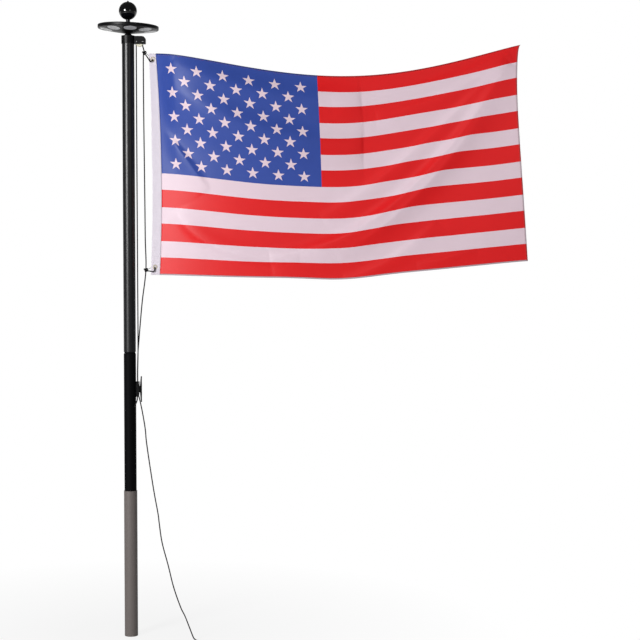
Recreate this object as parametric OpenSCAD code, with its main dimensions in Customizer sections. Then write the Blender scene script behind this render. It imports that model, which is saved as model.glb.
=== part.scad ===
// Sectional garden flagpole with a ground sleeve, a solar light and a flag on its halyard.
// Millimetres. The origin is the middle of the sleeve's flat foot, +Z is up the pole,
// and the flag flies along +X.

/* [Pole] */
// Outer diameter of both tube sections
tube_d = 50; // [40:1:60]
// Wall of the tube sections
tube_wall = 1.2; // [0.8:0.1:2]
// Length of the lower section below the joint
lower_len = 1169; // [1100:1:1420]
// Length of the upper section above the joint
upper_len = 1286; // [1100:1:1600]
// Length of the lower section's neck inside the upper section
neck_len = 105; // [60:1:160]
// Height of the rounded groove at the joint
groove_h = 8; // [4:1:12]
// Depth of the groove at the joint
groove_depth = 2.6; // [1.5:0.1:4]

/* [Ground sleeve] */
// Length of the sleeve that is sunk in the ground
sleeve_len = 605; // [400:5:800]
// Wall of the sleeve
sleeve_wall = 1.8; // [1.2:0.1:4]
// Gap between the tube and the sleeve on each side
sleeve_gap = 0.5; // [0.3:0.1:1.5]
// Thickness of the sleeve's closed foot
sleeve_floor = 3; // [2:0.5:8]

/* [Truck and sheave] */
// Height of the truck's collar round the tube
collar_h = 32; // [24:1:45]
// Wall of the collar
collar_wall = 2.1; // [1.5:0.1:4]
// Height of the conical cap on the collar
cap_h = 8; // [6:1:25]
// Diameter of the cap's top
cap_d = 23; // [18:1:30]
// Reach of the arm past the tube
arm_reach = 47; // [44:1:60]
// Width of the arm across its cheeks
arm_w = 19; // [15:1:26]
// Height of the arm
arm_h = 32.5; // [30:0.5:40]
// Radius of the groove floor of the sheave
sheave_r = 10; // [8:0.5:11]
// Width of the sheave
sheave_w = 7; // [6:0.5:8]
// Diameter of the sheave's pin
pin_d = 4; // [3:0.5:6]

/* [Light] */
// Diameter of the light
light_d = 248; // [190:1:300]
// Height of the light's rim
rim_h = 14; // [10:1:24]
// Drop of the light's shallow cone below its rim
dish_h = 18; // [8:1:22]
// Wall of the light's housing
shell = 2.5; // [1.5:0.1:3.5]
// Diameter of each lens
lens_d = 52; // [36:1:60]
// Diameter of the circle through the lens centres
lens_pcd = 180; // [166:1:184]
// Lean of the light on its stem in degrees
light_tilt = 1.8; // [0:0.2:2]

/* [Finial] */
// Diameter of the ball
ball_d = 74; // [50:1:100]
// Diameter of the neck below the ball
neck_d = 17; // [14:1:24]
// Length of the neck between the washer and the ball
neck_h = 18; // [10:1:40]
// Diameter of the threaded stem
stem_d = 12; // [8:1:13]

/* [Flag] */
// Length of the flag's printed field along its top edge
fly_len = 1489; // [1200:1:1800]
// Height of the flag at the hoist
hoist_h = 902; // [700:1:1100]
// Sag of the flag's top edge
top_sag = 112; // [60:1:140]
// Thickness of the cloth solid
cloth_t = 2; // [1:0.5:4]
// Diameter of the hole in each grommet
grommet_d = 9; // [8:0.5:12]

/* [Halyard and cleat] */
// Diameter of the halyard
rope_d = 4.8; // [3:0.2:5]
// Distance from the joint down to the middle of the cleat
cleat_drop = 146; // [70:1:180]
// Length of the cleat from tip to tip
cleat_len = 107; // [90:1:130]
// Distance from the tube to the middle of the cleat's horns
cleat_stand = 20; // [16:0.5:26]

/* [Hidden] */
$fn = 64;
fit_gap = 0.05;
skin_x = tube_d / 2;

// Heights up the pole
groove_z0 = sleeve_floor + lower_len;
upper_z0 = groove_z0 + groove_h;
tube_top = upper_z0 + upper_len;
tube_bore = tube_d - 2 * tube_wall;
neck_outer = tube_bore - 0.4;
neck_bore = neck_outer - 2 * tube_wall;
sleeve_bore = tube_d + 2 * sleeve_gap;
sleeve_d = sleeve_bore + 2 * sleeve_wall;

// Truck
collar_in = tube_d + 0.5;
collar_d = collar_in + 2 * collar_wall;
collar_grip = collar_h - 6;
collar_z0 = tube_top - collar_grip;
collar_top = collar_z0 + collar_h;
cap_top = collar_top + cap_h;
stem_seat = tube_top + 3;
rope_r = rope_d / 2;
groove_play = 0.3;
pitch_r = sheave_r + groove_play + rope_r;
flange_r = pitch_r + 1.2;
sheave_x = skin_x + 21;
sheave_z = collar_z0 + 1;
arm_z0 = collar_z0 - 2;
arm_x1 = skin_x + arm_reach;
arm_round = 16;
slot_w = sheave_w + 1.4;
slot_roof = sheave_z + flange_r + 3;
rivet_head_r = 2.6;
rivet_r = 1.5;
rivet_deep = 3;
rivet_x = [sheave_x - 11, sheave_x + 15];
rivet_z = sheave_z + 7;

// Light, measured from its seat on the cap
rim_r = light_d / 2;
rim_round = 3;
hub_r = 14;
boss_r = 10;
board_step = 12;
cone_run = rim_r - rim_round - hub_r;
cone_slope = atan(dish_h / cone_run);
tilt_rise = cap_d / 2 * sin(light_tilt) + fit_gap;
light_z = cap_top + tilt_rise;
rim_top = dish_h + rim_h;
dome_h = 4;
light_bore = stem_d + 1 + 2 * (rim_top + dome_h) * sin(light_tilt);
cover_t = 2;
cover_r = rim_r - shell - 0.2;
cover_low = rim_top - cover_t;
board_z = dish_h + shell + 2;
board_t = 1.6;
board_r = cover_r - 6;
lens_count = 8;
lens_phase = -78;
lens_rim = 1.5;
lens_lift = 0.8;
cell_in = 34;
cell_out = cover_r - 10;
cell_t = 1;
cell_angle = 52;

// Finial, on the light's cover
washer_t = 2;
washer_r = 15;
washer_z = light_z + rim_top + dome_h + washer_r * sin(light_tilt) + fit_gap;
neck_z0 = washer_z + washer_t;
ball_z = neck_z0 + neck_h + sqrt(pow(ball_d / 2, 2) - pow(neck_d / 2, 2));
ball_seat = 10;

// Flag, hung from two hooks beside the halyard
hoist_x = skin_x + 88;
hoist_top = collar_z0 - 40;
hoist_foot = 13;
hoist_bulge = 14.5;
header_top_w = 29;
header_foot_w = 38;
fly_rise = 36;
foot_rise = 57.5;
foot_low = 1.5;
foot_sag = 33.5;
foot_dip = 12;
foot_extra = 18;
fly_dip = 19;
fold_depth = 45;
wave_depth = 12;
header_t = 2.4;
grommet_r = grommet_d / 2;
grommet_wall = 1;
grommet_flange = 4;
grommet_t = header_t + 1.4;
grommet_hi = [skin_x + 76, 0, hoist_top - 22.5];
grommet_lo = [skin_x + 81, 0, hoist_top - hoist_h + 31];
hook_r = 2;
knot_r = 6.5;
gate_r = 1;
knot_hi = [skin_x + 41, 0, collar_z0 - 36];
knot_lo = [skin_x + 43, 0, hoist_top - hoist_h + 20];

// Cleat
cleat_z = groove_z0 - cleat_drop;
horn_x = skin_x + cleat_stand;
horn_r = 4.2;
horn_tip_r = 2.5;
pad_t = 4;
pad_h = 64;
pad_w = 14;
post_w = 10;
post_h = 28;
screw_r = 1.5;
screw_head_r = 3.4;
screw_z = 22;
wrap_z = 32;
wrap_y = 11;
wrap_gap = 0.2;
wrap_x0 = skin_x + pad_t + wrap_gap;
wrap_space = cleat_stand - pad_t - horn_r + 0.7;
wrap_turns = floor((wrap_space - wrap_gap) / rope_d);
wrap_last = wrap_x0 + (wrap_turns - 0.5) * rope_d;
fall_y = rope_r + 0.3;

// Routes of the halyard, chosen by hand and tied to the sheave, the knots and the cleat
wrap_top = cleat_z + wrap_z;
function between(a, b, t) = a + (b - a) * t;
left_route = [
    [sheave_x - pitch_r, 0, sheave_z],
    [sheave_x - pitch_r, 0, collar_z0 - 40],
    [sheave_x - pitch_r, 0, knot_lo[2] + 380],
    [skin_x + 8.6, 0.6, knot_lo[2] - 20],
    [skin_x + 8.6, fall_y, wrap_top + 150],
    [skin_x + 6.5, fall_y, wrap_top + 40],
    [wrap_x0 + rope_r, fall_y, wrap_top]
];
right_route = [
    [sheave_x + pitch_r, 0, sheave_z],
    [sheave_x + pitch_r + 0.4, 0, sheave_z - 8],
    [knot_hi[0] - 3, 0, knot_hi[2] + 14],
    knot_hi,
    [skin_x + 37, 0, knot_hi[2] - 16],
    [skin_x + 37, 0, between(knot_hi[2], knot_lo[2], 0.22)],
    [skin_x + 38, 0, between(knot_hi[2], knot_lo[2], 0.4)],
    [skin_x + 40, 0, between(knot_hi[2], knot_lo[2], 0.68)],
    [skin_x + 41, 0, between(knot_hi[2], knot_lo[2], 0.86)],
    knot_lo,
    [skin_x + 28, -1, between(knot_lo[2], wrap_top, 0.27)],
    [skin_x + 20, -1.8, between(knot_lo[2], wrap_top, 0.45)],
    [skin_x + 13, -fall_y, between(knot_lo[2], wrap_top, 0.63)],
    [skin_x + 9, -fall_y, between(knot_lo[2], wrap_top, 0.74)],
    [skin_x + 6.5, -fall_y, wrap_top + 40],
    [wrap_x0 + rope_r, -fall_y, wrap_top]
];
end_route = [
    [skin_x + 6, -9, cleat_z - 25],
    [skin_x + 6, -13, cleat_z - 42],
    [skin_x + 2, -17, cleat_z - 56],
    [skin_x - 5, -21, cleat_z - 72]
];
tail_route = [
    [wrap_last, -9, cleat_z - 27.4],
    [skin_x + 18, -10, cleat_z - 52],
    [skin_x + 29, -13, cleat_z - 106],
    [64, -17, 860],
    [68, -20, 815],
    [80, -26, 732],
    [99, -34, 612],
    [117, -41, 516],
    [122, -44, 478],
    [134, -50, 398],
    [160, -57, 302],
    [182, -63, 215],
    [211, -69, 133],
    [229, -72, 97],
    [251, -77, 42],
    [264, -84, 12],
    [274, -92, rope_r + 1],
    [288, -106, rope_r],
    [313, -129.8, rope_r]
];
coil_at = [296, -149];
coil_r = 22;
coil_half = rope_d;
tail_knot_r = 4.5;

// Points of an arc in a profile
function arc(cx, cy, r, a0, a1, n) = [for (k = [0 : n])
    let (a = a0 + (a1 - a0) * k / n) [cx + r * cos(a), cy + r * sin(a)]];

// A smooth curve through route points, with each span cut into a few steps
function spline_point(a, b, c, d, t) = 0.5 * (2 * b + (c - a) * t
    + (2 * a - 5 * b + 4 * c - d) * t * t + (3 * b - a - 3 * c + d) * t * t * t);
function smooth(p, steps) = let (last = len(p) - 1) concat(
    [for (i = [0 : last - 1], k = [0 : steps - 1])
        spline_point(p[max(i - 1, 0)], p[i], p[i + 1], p[min(i + 2, last)], k / steps)],
    [p[last]]);

// Rings of a tube along a route
function unit(v) = v / norm(v);
function heading(p, i) = unit(p[min(i + 1, len(p) - 1)] - p[max(i - 1, 0)]);
function ring(p, i, r, n) = let (t = heading(p, i), a = unit(cross([0, 1, 0], t)), b = cross(t, a))
    [for (k = [0 : n - 1]) p[i] + r * (a * cos(360 * k / n) + b * sin(360 * k / n))];

module swept_tube(p, r, n = 8) {
    rings = len(p);
    points = [for (i = [0 : rings - 1]) each ring(p, i, r, n)];
    sides = [for (i = [0 : rings - 2], k = [0 : n - 1])
        let (a = i * n + k, b = i * n + (k + 1) % n) each [[b + n, b, a], [a + n, b + n, a]]];
    near_end = [for (k = [0 : n - 1]) k];
    far_end = [for (k = [n - 1 : -1 : 0]) (rings - 1) * n + k];
    polyhedron(points = points, faces = concat(sides, [near_end, far_end]), convexity = 6);
}

// The hoist line, from v = 0 at the top to v = 1 at the foot
function hoist_line(v) = hoist_x + hoist_foot * v + hoist_bulge * 4 * v * (1 - v);
function header_w(v) = header_top_w + (header_foot_w - header_top_w) * min(1, 2.5 * v);

// The cloth, from u = 0 at the hoist to u = 1 at the fly
function top_edge(u) = [hoist_x + fly_len * u,
    hoist_top + fly_rise * u - top_sag * pow(max(0, sin(180 * pow(u, 1.1))), 1.09)];
function foot_edge(u) = [hoist_x + hoist_foot + (fly_len + foot_extra) * u,
    hoist_top - hoist_h - foot_low + foot_rise * u - foot_sag * pow(max(0, sin(180 * pow(u, 0.945))), 1.22)
        - foot_dip * (exp(-pow((u - 0.5) / 0.107, 2)) - exp(-pow(0.5 / 0.107, 2)))];
// One broad fold that leans towards the hoist, and a shallow wave that grows towards the fly
function fold(u, v) = let (s = u / (0.14 + 0.2 * v))
    -fold_depth * s * exp(1 - s) - wave_depth * u * sin(360 * (0.9 * u + 0.5 * v));
function cloth_point(u, v, side) = let (edge = (1 - v) * top_edge(u) + v * foot_edge(u))
    [edge[0] + hoist_bulge * 4 * v * (1 - v) * (1 - u) - fly_dip * max(0, sin(180 * sqrt(v))) * pow(u, 4),
        fold(u, v) + side * cloth_t / 2, edge[1]];

module on_light() {
    translate([0, 0, light_z]) rotate([0, light_tilt, 0]) children();
}

module at_lens(i) {
    rotate([0, 0, lens_phase + i * 360 / lens_count])
        translate([lens_pcd / 2, 0, dish_h * (lens_pcd / 2 - hub_r) / cone_run])
            rotate([0, -cone_slope, 0]) children();
}

module across_x(r, x0, x1, z) {
    translate([x0, 0, z]) rotate([0, 90, 0]) cylinder(r = r, h = x1 - x0);
}

module ground_sleeve() {
    color("dimgray") difference() {
        cylinder(d = sleeve_d, h = sleeve_len);
        translate([0, 0, sleeve_floor]) cylinder(d = sleeve_bore, h = sleeve_len);
        translate([0, 0, sleeve_len - 1]) cylinder(d1 = sleeve_bore, d2 = sleeve_bore + 1, h = 1.01);
    }
}

// Outline of the rolled groove and the neck above it
function groove_profile() = [for (k = [0 : 8])
    [tube_d / 2 - groove_depth * sin(90 * k / 8), groove_z0 + groove_h / 2 * k / 8]];

module lower_section() {
    r = tube_d / 2;
    groove_r = r - groove_depth;
    color([0.05, 0.05, 0.055]) difference() {
        rotate_extrude() polygon(concat(
            [[r - tube_wall, sleeve_floor], [r, sleeve_floor]],
            groove_profile(),
            [[groove_r, groove_z0 + groove_h * 0.6],
                [neck_outer / 2, groove_z0 + groove_h],
                [neck_outer / 2, upper_z0 + neck_len],
                [neck_bore / 2, upper_z0 + neck_len],
                [neck_bore / 2, upper_z0 + 2],
                [groove_r - tube_wall, groove_z0 + groove_h * 0.6],
                [groove_r - tube_wall, groove_z0 + groove_h * 0.4],
                [r - tube_wall, groove_z0 - 3]]));
        for (side = [-1, 1])
            across_x(screw_r + fit_gap, 0, r + 1, cleat_z + side * screw_z);
    }
}

module upper_section() {
    r = tube_d / 2;
    color([0.05, 0.05, 0.055]) rotate_extrude() polygon([
        [tube_bore / 2, upper_z0], [r - 0.6, upper_z0], [r, upper_z0 + 0.8],
        [r, tube_top], [tube_bore / 2, tube_top]]);
}

// Side outline of the truck's arm
module arm_outline() {
    x0 = skin_x - 1;
    top = arm_z0 + arm_h;
    polygon(concat(
        [[x0, arm_z0], [arm_x1 - 3, arm_z0]],
        arc(arm_x1 - 3, arm_z0 + 3, 3, -90, 0, 6),
        arc(arm_x1 - arm_round, top - arm_round, arm_round, 0, 90, 12),
        [[x0, top]]));
}

module truck_body() {
    color([0.07, 0.07, 0.075]) difference() {
        union() {
            translate([0, 0, collar_z0]) cylinder(d = collar_d, h = collar_h);
            rotate_extrude() polygon([[0, collar_top - 2], [collar_d / 2 - 2, collar_top - 2],
                [collar_d / 2 - 0.5, collar_top], [cap_d / 2 + 4.5, collar_top + cap_h / 3],
                [cap_d / 2, cap_top], [0, cap_top]]);
            rotate([90, 0, 0]) linear_extrude(height = arm_w, center = true) arm_outline();
        }
        translate([0, 0, arm_z0 - 1]) cylinder(d = collar_in, h = tube_top - arm_z0 + 1);
        translate([0, 0, stem_seat]) cylinder(d = stem_d + 2 * fit_gap, h = cap_top);
        translate([sheave_x - flange_r - 2, -slot_w / 2, arm_z0 - 1])
            cube([2 * flange_r + 4, slot_w, slot_roof - arm_z0 + 1]);
        translate([sheave_x, 0, sheave_z]) rotate([90, 0, 0])
            cylinder(d = pin_d + 0.04, h = arm_w + 2, center = true);
        for (x = rivet_x, side = [-1, 1])
            translate([x, side * (arm_w / 2 - rivet_deep / 2 + 0.5), rivet_z]) rotate([90, 0, 0])
                cylinder(r = rivet_r + fit_gap, h = rivet_deep + 1, center = true);
    }
}

module truck_rivets() {
    color("gainsboro") for (x = rivet_x, side = [-1, 1])
        translate([x, side * arm_w / 2, rivet_z]) rotate([-90 * side, 0, 0]) rotate_extrude() polygon(concat(
            [[0, -rivet_deep], [rivet_r, -rivet_deep], [rivet_r, fit_gap], [rivet_head_r, fit_gap]],
            arc(0, fit_gap - 2, sqrt(pow(rivet_head_r, 2) + 4), atan(2 / rivet_head_r), 90, 6)));
}

module sheave() {
    half = sheave_w / 2;
    play_r = rope_r + groove_play;
    open = acos((flange_r - pitch_r) / play_r);
    color([0.9, 0.87, 0.78]) translate([sheave_x, 0, sheave_z]) rotate([90, 0, 0]) rotate_extrude() polygon(concat(
        [[pin_d / 2 + fit_gap, -half], [flange_r, -half]],
        arc(pitch_r, 0, play_r, -open, -360 + open, 16),
        [[flange_r, half], [pin_d / 2 + fit_gap, half]]));
}

module sheave_pin() {
    color([0.2, 0.2, 0.21]) translate([sheave_x, 0, sheave_z]) rotate([90, 0, 0])
        cylinder(d = pin_d, h = arm_w - 0.6, center = true);
}

module light_housing() {
    flat_r = rim_r - rim_round;
    color([0.09, 0.09, 0.095]) on_light() difference() {
        union() {
            rotate_extrude() polygon(concat(
                [[light_bore / 2, 0], [hub_r, 0]],
                arc(flat_r, dish_h + rim_round, rim_round, -90, 0, 6),
                [[rim_r, rim_top - 1], [rim_r - 1, rim_top], [rim_r - shell, rim_top],
                    [rim_r - shell, dish_h + rim_round],
                    [flat_r, dish_h + shell], [hub_r, shell], [light_bore / 2, shell]]));
            difference() {
                union() {
                    cylinder(r = board_step, h = board_z);
                    cylinder(r = boss_r, h = cover_low + dome_h);
                }
                translate([0, 0, -1]) cylinder(d = light_bore, h = rim_top + dome_h);
            }
        }
        for (i = [0 : lens_count - 1])
            at_lens(i) translate([0, 0, -4]) cylinder(d = lens_d + 0.4, h = shell + 6);
    }
}

module light_cover() {
    color([0.1, 0.1, 0.105]) on_light() rotate_extrude() polygon([
        [light_bore / 2, cover_low + dome_h], [hub_r, cover_low + dome_h], [cover_r, cover_low],
        [cover_r, rim_top], [hub_r, rim_top + dome_h], [light_bore / 2, rim_top + dome_h]]);
}

module light_board() {
    color([0.85, 0.85, 0.82]) on_light() {
        translate([0, 0, board_z]) difference() {
            cylinder(r = board_r, h = board_t);
            translate([0, 0, -1]) cylinder(r = boss_r + fit_gap, h = board_t + 2);
        }
        for (i = [0 : lens_count - 1])
            rotate([0, 0, lens_phase + i * 360 / lens_count]) translate([lens_pcd / 2, 0, board_z - 1])
                cylinder(r = 4, h = 1.5);
    }
}

module light_lens(i) {
    color([0.8, 0.8, 0.82]) on_light() at_lens(i) {
        cylinder(d = lens_d, h = shell + lens_lift);
        translate([0, 0, shell + lens_lift]) cylinder(d = lens_d + 2 * lens_rim, h = 1.2);
    }
}

function cover_z(r) = rim_top + dome_h * (cover_r - r) / (cover_r - hub_r);

module solar_cell(i) {
    color([0.06, 0.08, 0.2]) on_light() rotate([0, 0, lens_phase + i * 60 - cell_angle / 2])
        rotate_extrude(angle = cell_angle) polygon([
            [cell_in, cover_z(cell_in) + fit_gap], [cell_out, cover_z(cell_out) + fit_gap],
            [cell_out, cover_z(cell_out) + cell_t], [cell_in, cover_z(cell_in) + cell_t]]);
}

module finial_washer() {
    color("silver") translate([0, 0, washer_z]) difference() {
        cylinder(r = washer_r, h = washer_t);
        translate([0, 0, -1]) cylinder(d = stem_d + 2 * fit_gap, h = washer_t + 2);
    }
}

module finial_stem() {
    color([0.12, 0.12, 0.13]) {
        translate([0, 0, stem_seat]) cylinder(d = stem_d, h = neck_z0 - stem_seat);
        translate([0, 0, neck_z0]) cylinder(d = neck_d, h = neck_h + ball_seat);
    }
}

module finial_ball() {
    color([0.03, 0.03, 0.035]) difference() {
        translate([0, 0, ball_z]) sphere(d = ball_d);
        translate([0, 0, neck_z0]) cylinder(d = neck_d + 2 * fit_gap, h = neck_h + ball_seat + fit_gap);
        translate([0, 0, ball_z + ball_d / 2 - 3]) cylinder(r = 3 + fit_gap, h = 5);
    }
}

module finial_tip() {
    color([0.05, 0.05, 0.055]) translate([0, 0, ball_z + ball_d / 2 - 3 + fit_gap]) {
        cylinder(r = 3, h = 4);
        translate([0, 0, 3]) cylinder(r1 = 4.5, r2 = 2, h = 4);
    }
}

module halyard_over_sheave() {
    color([0.05, 0.05, 0.05]) translate([sheave_x, 0, sheave_z]) rotate([90, 0, 0])
        rotate_extrude(angle = 180) translate([pitch_r, 0]) circle(r = rope_r);
}

module halyard_left_fall() {
    color([0.05, 0.05, 0.05]) swept_tube(left_route, rope_r);
}

module halyard_right_fall() {
    color([0.05, 0.05, 0.05]) swept_tube(right_route, rope_r);
}

module halyard_wraps() {
    color([0.04, 0.04, 0.04]) {
        for (turn = [0 : wrap_turns - 1]) {
            x = wrap_x0 + turn * rope_d;
            translate([x, 0, cleat_z]) rotate([0, 90, 0]) linear_extrude(height = rope_d) difference() {
                union() {
                    square([2 * (wrap_z - wrap_y), 2 * wrap_y], center = true);
                    for (side = [-1, 1]) translate([side * (wrap_z - wrap_y), 0]) circle(r = wrap_y);
                }
                square([2 * (wrap_z - wrap_y), 2 * (wrap_y - rope_d)], center = true);
                for (side = [-1, 1]) translate([side * (wrap_z - wrap_y), 0]) circle(r = wrap_y - rope_d);
            }
        }
        swept_tube(end_route, rope_r);
    }
}

module knot(at) {
    color([0.03, 0.03, 0.03]) {
        translate(at + [1, 0, 2]) sphere(r = knot_r);
        translate(at + [0, 0, -5]) sphere(r = knot_r - 1.5);
    }
}

// A snap hook from its knot to a grommet: low in front of the header, then up through the hole
module snap_hook(from, to) {
    route = [
        from + [3, -3, -6],
        from + (to - from) * 0.35 + [0, -6, -9],
        [to[0] - 11, -8, to[2] - 19],
        [to[0] - 4, -8, to[2] - 17],
        [to[0] - 1, -6, to[2] - 9],
        [to[0] - 1, -3, to[2] - 2.6],
        [to[0] - 1, 2.6, to[2] - 1.2],
        [to[0] - 4, 6, to[2] + 1]
    ];
    color([0.03, 0.03, 0.03]) swept_tube(smooth(route, 2), hook_r);
}

module snap_gate(from, to) {
    color("gray") swept_tube([from + [3, 4, 0], [to[0] - 7, 6.4, to[2] + 1]], gate_r);
}

module grommet(at) {
    inner = grommet_r;
    barrel = grommet_r + grommet_wall;
    half = grommet_t / 2;
    seat = header_t / 2 + fit_gap;
    color([0.72, 0.6, 0.35]) translate(at) rotate([90, 0, 0]) rotate_extrude() polygon([
        [inner, -half], [barrel + grommet_flange - 1, -half], [barrel + grommet_flange, -seat],
        [barrel, -seat], [barrel, seat], [barrel + grommet_flange, seat],
        [barrel + grommet_flange - 1, half], [inner, half]]);
}

module flag_header() {
    steps = 16;
    z_at = function (v) hoist_top - (hoist_h + foot_low) * v;
    color([0.93, 0.91, 0.94]) difference() {
        rotate([90, 0, 0]) linear_extrude(height = header_t, center = true) polygon(concat(
            [for (k = [0 : steps]) let (v = k / steps) [hoist_line(v), z_at(v)]],
            [for (k = [steps : -1 : 0]) let (v = k / steps) [hoist_line(v) - header_w(v), z_at(v)]]));
        for (at = [grommet_hi, grommet_lo])
            translate(at) rotate([90, 0, 0])
                cylinder(r = grommet_r + grommet_wall + fit_gap, h = header_t + 2, center = true);
    }
}

module flag_cloth() {
    nu = 30;
    nv = 16;
    row = nv + 1;
    sheet = (nu + 1) * row;
    points = [for (side = [-1, 1], i = [0 : nu], j = [0 : nv]) cloth_point(i / nu, j / nv, side)];
    front = [for (i = [0 : nu - 1], j = [0 : nv - 1]) let (a = i * row + j)
        each [[a, a + row + 1, a + 1], [a, a + row, a + row + 1]]];
    back = [for (f = front) [f[0] + sheet, f[2] + sheet, f[1] + sheet]];
    rim = concat([for (i = [0 : nu]) i * row],
        [for (j = [1 : nv]) nu * row + j],
        [for (i = [nu - 1 : -1 : 0]) i * row + nv],
        [for (j = [nv - 1 : -1 : 1]) j]);
    edges = [for (k = [0 : len(rim) - 1]) let (a = rim[k], b = rim[(k + 1) % len(rim)])
        each [[a, a + sheet, b + sheet], [a, b + sheet, b]]];
    color([0.8, 0.2, 0.2]) polyhedron(points = points, faces = concat(front, back, edges), convexity = 8);
}

module cleat() {
    half = cleat_len / 2;
    color([0.04, 0.04, 0.045]) translate([0, 0, cleat_z]) difference() {
        union() {
            translate([skin_x - 3, -pad_w / 2, -pad_h / 2]) cube([pad_t + 3, pad_w, pad_h]);
            translate([skin_x, -post_w / 2, -post_h / 2]) cube([cleat_stand, post_w, post_h]);
            translate([horn_x, 0, 0]) rotate_extrude() polygon([
                [0, -half], [horn_tip_r - 1, -half], [horn_tip_r, -half + 2], [horn_r, -post_h / 2],
                [horn_r, post_h / 2], [horn_tip_r, half - 2], [horn_tip_r - 1, half], [0, half]]);
        }
        translate([0, 0, -half - 1]) cylinder(r = skin_x + fit_gap, h = cleat_len + 2);
        for (side = [-1, 1])
            across_x(screw_r + fit_gap, skin_x - 5, skin_x + pad_t + 1, side * screw_z);
    }
}

module cleat_screws() {
    color("gray") for (side = [-1, 1]) {
        across_x(screw_r, skin_x - 6, skin_x + pad_t, cleat_z + side * screw_z);
        across_x(screw_head_r, skin_x + pad_t, skin_x + pad_t + 1.6, cleat_z + side * screw_z);
    }
}

module halyard_tail() {
    color([0.05, 0.05, 0.05]) swept_tube(smooth(tail_route, 3), rope_r);
}

module halyard_coil() {
    color([0.05, 0.05, 0.05]) translate([coil_at[0], coil_at[1], 0]) rotate_extrude() polygon([
        [coil_r - coil_half, 1], [coil_r - coil_half + 1, 0], [coil_r + coil_half - 1, 0],
        [coil_r + coil_half, 1], [coil_r + coil_half, 2 * rope_d - 1],
        [coil_r + coil_half - 1, 2 * rope_d], [coil_r - coil_half + 1, 2 * rope_d],
        [coil_r - coil_half, 2 * rope_d - 1]]);
}

module tail_knot() {
    color([0.05, 0.05, 0.05])
        translate([coil_at[0] + coil_r + coil_half + tail_knot_r + fit_gap, coil_at[1], tail_knot_r])
            sphere(r = tail_knot_r);
}

ground_sleeve();
lower_section();
upper_section();
truck_body();
truck_rivets();
sheave();
sheave_pin();
light_housing();
light_cover();
light_board();
light_lens(0);  // light_lens_1
light_lens(1);  // light_lens_2
light_lens(2);  // light_lens_3
light_lens(3);  // light_lens_4
light_lens(4);  // light_lens_5
light_lens(5);  // light_lens_6
light_lens(6);  // light_lens_7
light_lens(7);  // light_lens_8
solar_cell(0);  // solar_cell_1
solar_cell(1);  // solar_cell_2
solar_cell(2);  // solar_cell_3
solar_cell(3);  // solar_cell_4
solar_cell(4);  // solar_cell_5
solar_cell(5);  // solar_cell_6
finial_washer();
finial_stem();
finial_ball();
finial_tip();
halyard_over_sheave();
halyard_left_fall();
halyard_right_fall();
halyard_wraps();
knot(knot_hi);  // knot_upper
knot(knot_lo);  // knot_lower
snap_hook(knot_hi, grommet_hi);  // snap_hook_upper
snap_hook(knot_lo, grommet_lo);  // snap_hook_lower
snap_gate(knot_hi, grommet_hi);  // snap_gate_upper
snap_gate(knot_lo, grommet_lo);  // snap_gate_lower
grommet(grommet_hi);  // grommet_upper
grommet(grommet_lo);  // grommet_lower
flag_header();
flag_cloth();
cleat();
cleat_screws();
halyard_tail();
halyard_coil();
tail_knot();
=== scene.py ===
import math

import bmesh
import bpy
import numpy as np
from mathutils import Matrix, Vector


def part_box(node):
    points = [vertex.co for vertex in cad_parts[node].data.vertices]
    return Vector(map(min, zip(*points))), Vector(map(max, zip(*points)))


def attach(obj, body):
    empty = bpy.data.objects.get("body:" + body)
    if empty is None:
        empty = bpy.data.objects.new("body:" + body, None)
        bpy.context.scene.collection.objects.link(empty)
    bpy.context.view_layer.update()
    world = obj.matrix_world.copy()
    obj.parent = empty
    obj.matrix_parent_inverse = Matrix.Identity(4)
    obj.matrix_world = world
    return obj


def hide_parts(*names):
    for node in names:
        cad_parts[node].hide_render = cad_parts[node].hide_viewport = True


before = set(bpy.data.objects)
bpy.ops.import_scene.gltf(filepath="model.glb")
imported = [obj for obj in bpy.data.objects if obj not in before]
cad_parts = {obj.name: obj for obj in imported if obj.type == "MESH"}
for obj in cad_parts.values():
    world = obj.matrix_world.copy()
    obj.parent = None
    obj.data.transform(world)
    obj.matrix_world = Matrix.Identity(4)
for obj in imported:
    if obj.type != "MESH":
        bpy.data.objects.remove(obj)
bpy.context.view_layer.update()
scene = bpy.context.scene
mm = 0.001
print("frame loaded")

# ---- camera ----

cameraPlace = {"at": (0.7833, -6.4868, 1.6169), "down": 2.7, "lens": 88.76}
camera = bpy.data.objects.new("camera", bpy.data.cameras.new("camera"))
camera.data.lens = cameraPlace["lens"]
camera.data.sensor_width = 36
camera.location = cameraPlace["at"]
camera.rotation_euler = (math.radians(90 - cameraPlace["down"]), 0, 0)
scene.collection.objects.link(camera)
scene.camera = camera


# ---- shapes ----

def unit(v):
    return v / np.linalg.norm(v, axis=-1, keepdims=True)


def ease(x):
    # Smooth step: three x squared less two x cubed, from 0 to 1
    x = np.clip(x, 0, 1)
    return x * x * (3 - 2 * x)


def smoothRoute(points, steps):
    # Each span is the cubic through its two ends that leaves along the line between their neighbours
    p = np.array(points, float)
    n = len(p) - 1
    t = (np.arange(steps) / steps)[None, :, None]
    i = np.arange(n)
    a, b, c, d = (p[np.clip(i + k, 0, n)][:, None, :] for k in (-1, 0, 1, 2))
    spans = 0.5 * (2 * b + (c - a) * t + (2 * a - 5 * b + 4 * c - d) * t ** 2
                   + (3 * b - a - 3 * c + d) * t ** 3)
    return np.vstack([spans.reshape(-1, 3), p[-1:]])


def evenly(path, step):
    # The same line with its points one step apart
    run = np.r_[0, np.cumsum(np.linalg.norm(np.diff(path, axis=0), axis=1))]
    s = np.linspace(0, run[-1], max(2, int(round(run[-1] / step)) + 1))
    return np.stack([np.interp(s, run, path[:, k]) for k in range(3)], 1), s


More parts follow.
